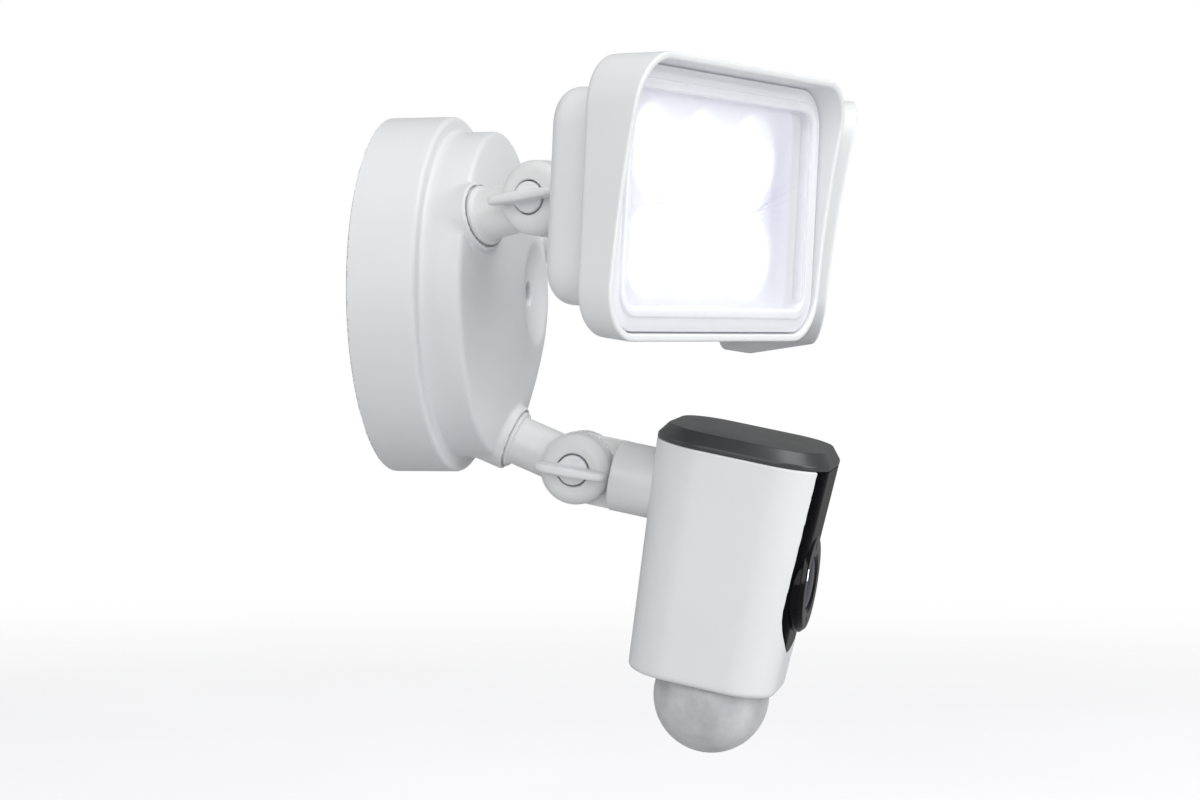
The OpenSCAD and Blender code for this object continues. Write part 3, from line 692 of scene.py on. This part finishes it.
def knob_field(p):
    """Clamping screw under a disc with one flat wing across it, thinner and lower at its ends."""
    shank = rod(p, 0, SCREW_R, -CHEEK_T, SCREW_END, 0.3)
    disc = rod(p, 0, KNOB_DISC_R, -CHEEK_T - 0.9, -CHEEK_T + RECESS_D - GAP, 0.8)
    top = -CHEEK_T - 0.6 - WING_H
    crown = 0.012 * p[:, 2] ** 2
    outline = rounded_rect(p[:, 2], p[:, 0] - (top + WING_H / 2) - crown * 0.4, WING_L, WING_H, 3.2)
    thick = np.abs(p[:, 1]) - WING_T / 2 * (1 - 0.018 * np.abs(p[:, 2]))
    wing = blend_common(outline, thick, 1.4)
    return blend_union(blend_union(disc, shank, 0.4), wing, 1.6)


def teeth_ring(name, place):
    """Ring of small radial teeth beside the parting plane of a knuckle, on the knob's side."""
    low, high = -1.6, -GAP / 2 - 0.02
    n = TEETH * 4
    root = KNUCKLE_R - 0.1
    profile = [(root + TOOTH_H if i % 4 in (0, 1) else root, 2 * pi * i / n) for i in range(n)]
    vertices, faces = [], []
    for x in (low, high):
        vertices += [(x, r * cos(a), r * sin(a)) for r, a in profile]
        vertices += [(x, TEETH_INNER_R * cos(a), TEETH_INNER_R * sin(a)) for _, a in profile]
    for j in range(n):
        k = (j + 1) % n
        faces += [(j, k, 2 * n + k, 2 * n + j), (n + k, n + j, 3 * n + j, 3 * n + k),
                  (k, j, n + j, n + k), (2 * n + j, 2 * n + k, 3 * n + k, 3 * n + j)]
    return new_piece(name, vertices, faces, place, ARM_WHITE, smooth=False)


ARM_MESH = surface(arm_field, (-14, -14, -SHANK_L - 2), (12, 14, ARM_L + 14), 0.5)
KNOB_MESH = surface(knob_field, (-22, -8, -14), (11, 8, 14), 0.4)
LAMP_LINK_MESH = surface(link_field(LAMP_BACK + 1), (-14, -14, -14), (14, 14, LAMP_BACK + 3), 0.5)
CAMERA_LINK_LENGTH = CAMERA_REACH - CAMERA_DEPTH / 2 + 2.5
CAMERA_LINK_MESH = surface(link_field(CAMERA_LINK_LENGTH), (-14, -14, -14),
                           (14, 14, CAMERA_LINK_LENGTH + 2), 0.5)


def sculpted(mesh, finish):
    return lambda name, place: new_piece(name, mesh[0], mesh[1], place, finish, mesh[2])


def at_pivot(place, turn=0.0):
    """Frame at the end of an arm, turned about the clamping screw."""
    return place @ Matrix.Translation((0, 0, ARM_L)) @ Matrix.Rotation(radians(turn), 4, "X")


sided(sculpted(ARM_MESH, ARM_WHITE), "arm_tube", LAMP_ARM, "arm", ["arm"])
sided(teeth_ring, "arm_teeth", at_pivot(LAMP_ARM), "arm", [])
sided(teeth_ring, "link_teeth", LAMP @ MIRROR, "lamp", [])
sided(sculpted(KNOB_MESH, KNOB_WHITE), "wing_knob", at_pivot(LAMP_ARM, LAMP_WING_TURN), "knob",
      ["knob"])
sided(sculpted(LAMP_LINK_MESH, ARM_WHITE), "lamp_link", LAMP, "lamp", ["link"])
install(sculpted(ARM_MESH, ARM_WHITE)("camera_arm_tube", CAMERA_ARM), "camera_arm",
        ["camera_arm"])
install(teeth_ring("camera_arm_teeth", at_pivot(CAMERA_ARM)), "camera_arm", [])
install(teeth_ring("camera_link_teeth", CAMERA_LINK @ MIRROR), "camera", [])
install(sculpted(KNOB_MESH, KNOB_WHITE)("camera_wing_knob", at_pivot(CAMERA_ARM, CAMERA_WING_TURN)),
        "camera_knob", ["camera_knob"])
install(sculpted(CAMERA_LINK_MESH, ARM_WHITE)("camera_link_tube", CAMERA_LINK), "camera",
        ["camera_link"])


# ---- Lamp heads ----

def lamp_rim_lift(x, y, z):
    """The rim leans, so that the top stands out as a visor, and its sides are a little hollow."""
    share = min(1, max(0, (z - FRAME_BACK - 3) / (RIM_D - FRAME_BACK - 5)))
    dip = RIM_DIP * max(0, 1 - (2 * y / LAMP_H) ** 2)
    return share * (y * np.tan(radians(VISOR_ANGLE)) - dip)


def build_frame(name, place):
    """Outer frame with its back wall, and a shallow step round the housing."""
    inner = FRAME_WALL
    hole = (LAMP_H - HOUSING_H) / 2 - 0.2
    outline = [(hole, FRAME_BACK), (FRAME_DRAFT, FRAME_BACK), (0.0, RIM_D), (inner, RIM_D),
               (inner + 0.5, FRAME_BACK + inner), (hole, FRAME_BACK + inner)]
    radii = [0, 2.2, 0.9, 0.9, 0.8, 0]
    profile = fillet(outline, radii, 6)
    dense = []
    for (a, b), (c, d) in zip(profile, profile[1:]):
        steps = max(1, ceil(sqrt((c - a) ** 2 + (d - b) ** 2) / 3))
        dense += [(a + (c - a) * i / steps, b + (d - b) * i / steps) for i in range(steps)]
    dense.append(profile[-1])
    vertices, faces = swept(LAMP_W, LAMP_H, FRAME_R, dense, True, lamp_rim_lift, 14, 14)
    step = [(0, FRAME_BACK + 0.5), (-7, FRAME_BACK + 0.5), (-7, FRAME_BACK + 2), (0, FRAME_BACK + 2)]
    ring, ring_faces = swept(HOUSING_W + 0.4, HOUSING_H + 0.4, HOUSING_R, step, True, None, 12, 10)
    faces = list(faces) + [tuple(len(vertices) + i for i in face) for face in ring_faces]
    return new_piece(name, list(vertices) + list(ring), faces, place, WHITE)


def build_housing(name, place):
    """Round-edged box behind the frame, open to the light side."""
    flat = HOUSING_EDGE + 4
    outline = [(flat, LAMP_BACK), (0, LAMP_BACK), (0, FRAME_BACK + 1.5), (3, FRAME_BACK + 1.5),
               (3, LAMP_BACK + 3), (flat, LAMP_BACK + 3)]
    profile = fillet(outline, [0, HOUSING_EDGE, 0.2, 0.2, 2.0, 0], 9)
    vertices, faces = swept(HOUSING_W, HOUSING_H, HOUSING_R, profile, False, None, 12, 10)
    return new_piece(name, vertices, faces, place, WHITE)


def build_lens(name, place):
    """Clear cover: a foot on the gasket, a flange, a raised bead and a lower window."""
    edge, foot = FRAME_WALL + 0.7, 1.8
    front = LENS_Z + LENS_T
    window = (LAMP_W - WINDOW_W + LAMP_H - WINDOW_H) / 4
    bead = window - 2.6
    middle_y = LAMP_H / 2 - 2
    outline = [(middle_y, front - 1.2), (window + 1.2, front - 1.2), (window, front + 1.2),
               (bead, front + 1.2), (bead - 0.4, front), (edge, front), (edge, LENS_FOOT),
               (edge + foot, LENS_FOOT), (edge + foot, LENS_Z), (bead + 0.6, LENS_Z),
               (bead + 1.4, front - 0.6), (window - 1.0, front - 0.6), (window, LENS_Z - 1.2),
               (middle_y, LENS_Z - 1.2)]
    radii = [0, 0.8, 0.6, 0.6, 0.4, 0.5, 0.4, 0.4, 0.8, 0.4, 0.3, 0.3, 0.4, 0]
    profile = list(reversed(fillet(outline, radii, 4)))
    vertices, faces = swept(LAMP_W, LAMP_H, FRAME_R, profile, False, None, 12, 10)
    piece = new_piece(name, vertices, faces, place, CLEAR)
    per_ring = len(vertices) // len(profile)
    # rim marks the milky flange, which is also where the glow is painted
    rim = np.repeat([float(inset < window + 0.3) for inset, _ in profile], per_ring)
    layer = piece.data.attributes.new("rim", "FLOAT", "POINT")
    layer.data.foreach_set("value", rim.astype(np.float32))
    return piece


def led_places():
    for i in range(LED_COLS):
        for j in range(LED_ROWS):
            yield ((i - (LED_COLS - 1) / 2) * LED_PITCH, (j - (LED_ROWS - 1) / 2) * LED_PITCH)


def reflector_field(p):
    """Tray with a thin apron that fills the window, and a parabolic cup at each light."""
    top = TRAY_Z + TRAY_D
    body = np.maximum(rounded_rect(p[:, 0], p[:, 1], TRAY_W, HOUSING_H - 5, 8),
                      slab(p, 2, TRAY_Z + 0.2, top))
    apron = np.maximum(rounded_rect(p[:, 0], p[:, 1], WINDOW_W + 4, WINDOW_H + 4, 8),
                       slab(p, 2, top - 1.6, top))
    body = np.minimum(body, apron)
    depth = np.clip((p[:, 2] - TRAY_Z) / TRAY_D, 0, 1.2)
    reach = CUP_ROOT_R + (CUP_R - CUP_ROOT_R) * np.sqrt(depth)
    for x, y in led_places():
        cup = (np.hypot(p[:, 0] - x, p[:, 1] - y) - reach) * 0.75
        body = blend_cut(body, cup, 0.8)
    return body


REFLECTOR_MESH = surface(reflector_field, (-61, -38, TRAY_Z - 2), (61, 38, TRAY_Z + TRAY_D + 2), 0.8)


def build_reflector(name, place):
    """The tray, with a painted glow that fills each cup and spills over between them."""
    piece = new_piece(name, REFLECTOR_MESH[0], REFLECTOR_MESH[1], place, REFLECTOR, REFLECTOR_MESH[2])
    points = REFLECTOR_MESH[0]
    # painted light: glow is brightest round each light and spills over between the cups
    nearest = np.min([np.hypot(points[:, 0] - x, points[:, 1] - y) for x, y in led_places()], 0)
    spill = 0.72 * (1 - (points[:, 0] / GLOW_W) ** 4) * (1 - (points[:, 1] / GLOW_H) ** 4)
    glow = np.clip(np.maximum(1.08 - (nearest / (CUP_R + 2.5)) ** 2.2, spill), 0, 1)
    glow *= points[:, 2] > TRAY_Z + 0.5
    layer = piece.data.attributes.new("glow", "FLOAT", "POINT")
    layer.data.foreach_set("value", glow.astype(np.float32))
    return piece


def build_light(name, place):
    """Phosphor chips under low domes, as one piece."""
    dome_r = CHIP_R - 0.4
    profile = [(CHIP_R, TRAY_Z), (CHIP_R, TRAY_Z + 0.5)]
    profile += [(dome_r * cos(a), TRAY_Z + 0.6 + 2.2 * sin(a)) for a in np.linspace(0, pi / 2, 8)]
    profile[-1] = (0, profile[-1][1])
    chip, chip_faces = lathe([(0, TRAY_Z)] + profile, 28)
    vertices, faces = [], []
    for x, y in led_places():
        base = len(vertices)
        vertices += [(a + x, b + y, c) for a, b, c in chip]
        faces += [tuple(base + i for i in f) for f in chip_faces]
    return new_piece(name, vertices, faces, place, LIT)


sided(build_frame, "lamp_frame", LAMP, "lamp", ["frame"])
sided(build_housing, "rear_housing", LAMP, "lamp", ["housing"])
sided(build_lens, "clear_lens", LAMP, "lamp", ["lens"])
sided(build_reflector, "reflector_cups", LAMP, "lamp", ["reflector"])
sided(build_light, "light_chips", LAMP, "lamp", ["leds"])


# ---- Camera ----

def camera_wall(p, inset):
    """Distance to the camera's sides, which lean in towards the bottom."""
    share = 1 + (1 - CAMERA_TAPER) * p[:, 2] / CAMERA_H
    w, d = CAMERA_W * share - 2 * inset, CAMERA_DEPTH * share - 2 * inset
    return rounded_rect(p[:, 0], p[:, 1], w, d, CAMERA_R * share - inset)


def panel_outline(p, grow):
    """Distance to the front panel's outline: sides that close in downwards, and a round end."""
    x, z = np.abs(p[:, 0]), p[:, 2] - PANEL_Z
    half = PANEL_R + (PANEL_TOP_W - PANEL_R) * z / -PANEL_Z
    return np.where(z < 0, np.hypot(x, z) - PANEL_R, x - half) - grow


def shell_field(p):
    """Tapered shell, open at the top, at the front panel and at the dome's neck."""
    body = blend_common(camera_wall(p, 0), -CAMERA_H - p[:, 2], 2.2)
    body = blend_common(body, p[:, 2], 0.6)
    cavity = np.maximum(np.maximum(camera_wall(p, SHELL_T), -CAMERA_H + 3 - p[:, 2]), p[:, 2] - 5)
    body = blend_cut(body, cavity, 0.4)
    body = blend_cut(body, np.maximum(panel_outline(p, 0.18), p[:, 1]), 0.45)
    neck = p + (0, DOME_FORWARD, 0)
    return blend_cut(body, rod(neck, 2, DOME_NECK_R + 0.3, -CAMERA_H - 5, -CAMERA_H + 8, 0.2), 0.6)


def panel_field(p):
    """Gloss panel that fills the opening in the shell's front."""
    body = np.maximum(camera_wall(p, 0.08), -camera_wall(p, SHELL_T))
    body = blend_common(body, panel_outline(p, -0.05), 0.45)
    return blend_common(np.maximum(body, p[:, 1] + 2), p[:, 2] + 0.05, 0.3)


def make_camera_shell():
    low = (-CAMERA_W / 2 - 2, -CAMERA_DEPTH / 2 - 2, -CAMERA_H - 2)
    mesh = surface(shell_field, low, (CAMERA_W / 2 + 2, CAMERA_DEPTH / 2 + 2, 2), 0.45)
    piece = new_piece("camera_body_shell", mesh[0], mesh[1], CAMERA, WHITE, mesh[2])
    install(piece, "camera", ["camera_shell"])


def make_front_panel():
    low = (-PANEL_TOP_W - 2, -CAMERA_DEPTH / 2 - 2, PANEL_Z - PANEL_R - 2)
    mesh = surface(panel_field, low, (PANEL_TOP_W + 2, 0, 2), 0.4)
    piece = new_piece("gloss_front_panel", mesh[0], mesh[1], CAMERA, BLACK, mesh[2])
    install(piece, "camera", ["front_panel"])


def make_cap():
    """Dark cap: a short wall, a broad bevel and a flat top."""
    outline = [(20, 0.1), (0, 0.1), (0, 1.7), (CAP_INSET, CAP_H), (20, CAP_H + 0.15)]
    profile = fillet(outline, [0, 0.3, 0.7, 0.9, 0], 5)
    vertices, faces = swept(CAMERA_W, CAMERA_DEPTH, CAMERA_R, profile, False, None, 14, 8)
    piece = new_piece("camera_top_cap", vertices, faces, CAMERA, DARK)
    install(piece, "camera", ["camera_cap"])


def make_bezel():
    """Raised ring with a rounded rim, which steps down to the glass."""
    outline = [(BARREL_R, -3), (BEZEL_R, -3), (BEZEL_R, 0.4), (BEZEL_R - 1.5, BEZEL_OUT),
               (GLASS_R + 1.6, BEZEL_OUT), (GLASS_R + 0.3, BEZEL_OUT - 0.7),
               (GLASS_R, BEZEL_OUT - 1.6), (BARREL_R, BEZEL_OUT - 1.6), (BARREL_R, -3)]
    profile = fillet(outline, [0, 0.3, 0.8, 1.2, 0.4, 0.3, 0.2, 0.2, 0], 7)
    vertices, faces = lathe(profile, 96)
    piece = new_piece("camera_lens_bezel", vertices, faces, PANEL, BEZEL_BLACK)
    install(piece, "camera", ["lens_bezel"])


def make_glass():
    """Slightly domed front glass of the camera's eye."""
    profile = [(0, BEZEL_OUT - 1.5), (GLASS_R - 0.1, BEZEL_OUT - 1.5)]
    profile += [((GLASS_R - 0.1) * cos(a), BEZEL_OUT - 1.0 + 1.0 * sin(a))
                for a in np.linspace(0, pi / 2, 14)]
    profile[-1] = (0, profile[-1][1])
    vertices, faces = lathe(profile, 72)
    piece = new_piece("camera_lens_glass", vertices, faces, PANEL, GLASS)
    install(piece, "camera", ["lens_glass"])


def make_status_window():
    """Small pill-shaped window of the status light, on the near side of the bezel."""
    low, high = BEZEL_OUT - 0.9, BEZEL_OUT + 0.1
    profile = fillet([(0.6, low), (0, low), (0, high), (0.6, high)], [0, 0.1, 0.2, 0], 4)
    vertices, faces = swept(STATUS_W, STATUS_L, 0.75, profile, False, None, 6, 3)
    a = radians(STATUS_ANGLE)
    place = PANEL @ Matrix.Translation((WINDOW_RING * cos(a), WINDOW_RING * sin(a), 0))
    piece = new_piece("status_light_window", vertices, faces, place, STATUS)
    install(piece, "camera", ["status_light"])


def make_infrared_windows():
    """Two dark, nearly flush windows of the infrared emitters, above and below the lens."""
    vertices, faces = [], []
    top, bevel = BEZEL_OUT + 0.04, 0.15
    profile = [(0, top - 1), (INFRARED_R, top - 1), (INFRARED_R, top - bevel),
               (INFRARED_R - bevel, top), (0, top)]
    disc, disc_faces = lathe(profile, 32)
    for y in (-INFRARED_RING, INFRARED_RING):
        base = len(vertices)
        vertices += [(a, b + y, c) for a, b, c in disc]
        faces += [tuple(base + i for i in f) for f in disc_faces]
    piece = new_piece("infrared_windows", vertices, faces, PANEL, INFRARED)
    install(piece, "camera", ["infrared_leds"])


def make_dome():
    """Motion sensor dome with its neck and an inner wall."""
    neck_top = DOME_DROP + 4
    outer = [(DOME_R * sin(a), -DOME_R * cos(a)) for a in np.linspace(0, 1.86, 40)]
    outer = [(r, z) for r, z in outer if z < DOME_DROP - 0.4]
    profile = outer + [(DOME_NECK_R, DOME_DROP - 0.2), (DOME_NECK_R, neck_top),
                       (DOME_NECK_R - DOME_NECK_WALL, neck_top)]
    inner_r = DOME_R - DOME_WALL
    profile += [(r * inner_r / DOME_R, z * inner_r / DOME_R) for r, z in reversed(outer)]
    profile[0], profile[-1] = (0, -DOME_R), (0, -inner_r)
    vertices, faces = lathe(profile, 96)
    place = CAMERA @ Matrix.Translation((0, -DOME_FORWARD, -CAMERA_H - DOME_DROP))
    piece = new_piece("motion_sensor_dome", vertices, faces, place, DOME)
    install(piece, "camera", ["sensor_dome"])


make_camera_shell()
make_front_panel()
make_cap()
make_bezel()
make_glass()
make_status_window()
make_infrared_windows()
make_dome()


# ---- CAD nodes that stay, with their finishes ----

FINISHES = {
    "wall_gasket": FOAM, "crossbar": ZINC, "canopy_screw": ZINC, "ground_screw": GREEN,
    "driver_board": BOARD, "driver_parts": PARTS, "arm_seals": RUBBER, "lock_nut": ZINC,
    "square_nut": ZINC, "heat_sink": ALUMINIUM, "led_board": WHITE_BOARD, "gasket": SILICONE,
    "screws": ZINC, "lens_barrel": PARTS, "image_board": BOARD, "main_board": BOARD,
    "speaker": PARTS, "sensor_can": ZINC, "sensor_board": BOARD,
}


def finish_of(node):
    """The finish of a CAD node, on whichever head it is. Nodes replaced by a piece have none."""
    for start in ("", "left_", "right_", "camera_"):
        if node.startswith(start) and node[len(start):] in FINISHES:
            return FINISHES[node[len(start):]]
    return None


for node_name, node_object in NODES.items():
    finish = finish_of(node_name)
    if finish and not node_object.hide_render:
        node_object.data.materials.clear()
        node_object.data.materials.append(finish)


# ---- Stage, light and camera ----

def soft_light(name, place, aim, width, height, power):
    data = bpy.data.lights.new(name, "AREA")
    data.shape = "RECTANGLE"
    data.size, data.size_y = width, height
    data.energy = power
    lamp = bpy.data.objects.new(name, data)
    bpy.context.scene.collection.objects.link(lamp)
    lamp.location = place
    lamp.rotation_mode = "QUATERNION"
    lamp.rotation_quaternion = (Vector(aim) - Vector(place)).to_track_quat("-Z", "Y")


def make_floor():
    """Pale floor below the object, which fades into the white surroundings further out."""
    rings = [FLOOR_R * (i / 12) ** 2 for i in range(13)]
    vertices, faces = lathe([(r / MM, 0) for r in rings], 64)
    faces = [tuple(reversed(f)) for f in faces]
    place = Matrix.Translation((0, 0, cad_low.z - FLOOR_DROP)) @ Matrix.Diagonal((MM, MM, MM, 1))
    new_piece("floor", vertices, faces, place, pale_floor("pale_floor"))


def pale_floor(name):
    made, tree, shader = material(name)
    tone = ramp(tree, noise(tree, 3, 2), [(0.3, (0.52, 0.52, 0.53)), (0.7, (0.54, 0.54, 0.55))])
    tree.links.new(tone, shader.inputs["Base Color"])
    reach = add(tree, "ShaderNodeVectorMath")
    reach.operation = "LENGTH"
    tree.links.new(coordinates(tree), reach.inputs[0])
    fade = add(tree, "ShaderNodeMapRange")
    fade.interpolation_type = "SMOOTHSTEP"
    fade.inputs["From Min"].default_value = 0.5
    fade.inputs["From Max"].default_value = 1.9
    fade.inputs["To Min"].default_value = 1.0
    fade.inputs["To Max"].default_value = 0.0
    tree.links.new(reach.outputs["Value"], fade.inputs["Value"])
    tree.links.new(fade.outputs["Result"], shader.inputs["Alpha"])
    shader.inputs["Roughness"].default_value = 0.9
    path = tree.nodes.new("ShaderNodeLightPath")
    tree.links.new(tone, shader.inputs["Emission Color"])
    tree.links.new(spread(tree, path.outputs["Is Camera Ray"], 0.0, FLOOR_GLOW),
                   shader.inputs["Emission Strength"])
    return made


def white_surroundings(seen, lighting):
    """White world that looks brighter than the light it gives."""
    world = bpy.data.worlds.new("studio")
    world.use_nodes = True
    tree = world.node_tree
    background = tree.nodes["Background"]
    background.inputs["Color"].default_value = (1, 1, 1, 1)
    path = tree.nodes.new("ShaderNodeLightPath")
    tree.links.new(spread(tree, path.outputs["Is Camera Ray"], lighting, seen),
                   background.inputs["Strength"])
    bpy.context.scene.world = world


FLOOR_R, FLOOR_DROP, FLOOR_GLOW = 2.4, 0.09, 1.1
make_floor()
white_surroundings(1.0, 0.29)
bpy.context.scene.view_settings.view_transform = "Standard"

middle = (cad_low + cad_high) / 2
soft_light("top", middle + Vector((-0.3, -0.7, 1.2)), middle, 1.0, 1.0, 11)
soft_light("front", middle + Vector((-0.35, -1.5, 0.25)), middle, 0.7, 1.2, 12)
soft_light("wall_side", middle + Vector((-0.7, 1.2, 0.5)), middle, 0.6, 1.0, 3.5)
soft_light("viewer_side", middle + Vector((-1.55, -0.1, 0.35)), middle, 1.1, 1.0, 10)

VIEW_AZIMUTH, VIEW_ELEVATION = -78.4, 0.2
VIEW_DISTANCE, VIEW_RIGHT, VIEW_UP = 0.9216, 0.0716, -0.0370
FOCAL = 78.4
a, e = radians(VIEW_AZIMUTH), radians(VIEW_ELEVATION)
back = Vector((sin(a) * cos(e), -cos(a) * cos(e), sin(e)))
right = Vector((cos(a), sin(a), 0))
up = back.cross(right)
lens_data = bpy.data.cameras.new("view")
lens_data.lens = FOCAL
lens_data.sensor_width = 36
lens_data.clip_start = 0.01
view_camera = bpy.data.objects.new("view", lens_data)
bpy.context.scene.collection.objects.link(view_camera)
view_camera.location = back * VIEW_DISTANCE + right * VIEW_RIGHT + up * VIEW_UP
view_camera.rotation_mode = "QUATERNION"
view_camera.rotation_quaternion = (-back).to_track_quat("-Z", "Y")
bpy.context.scene.camera = view_camera
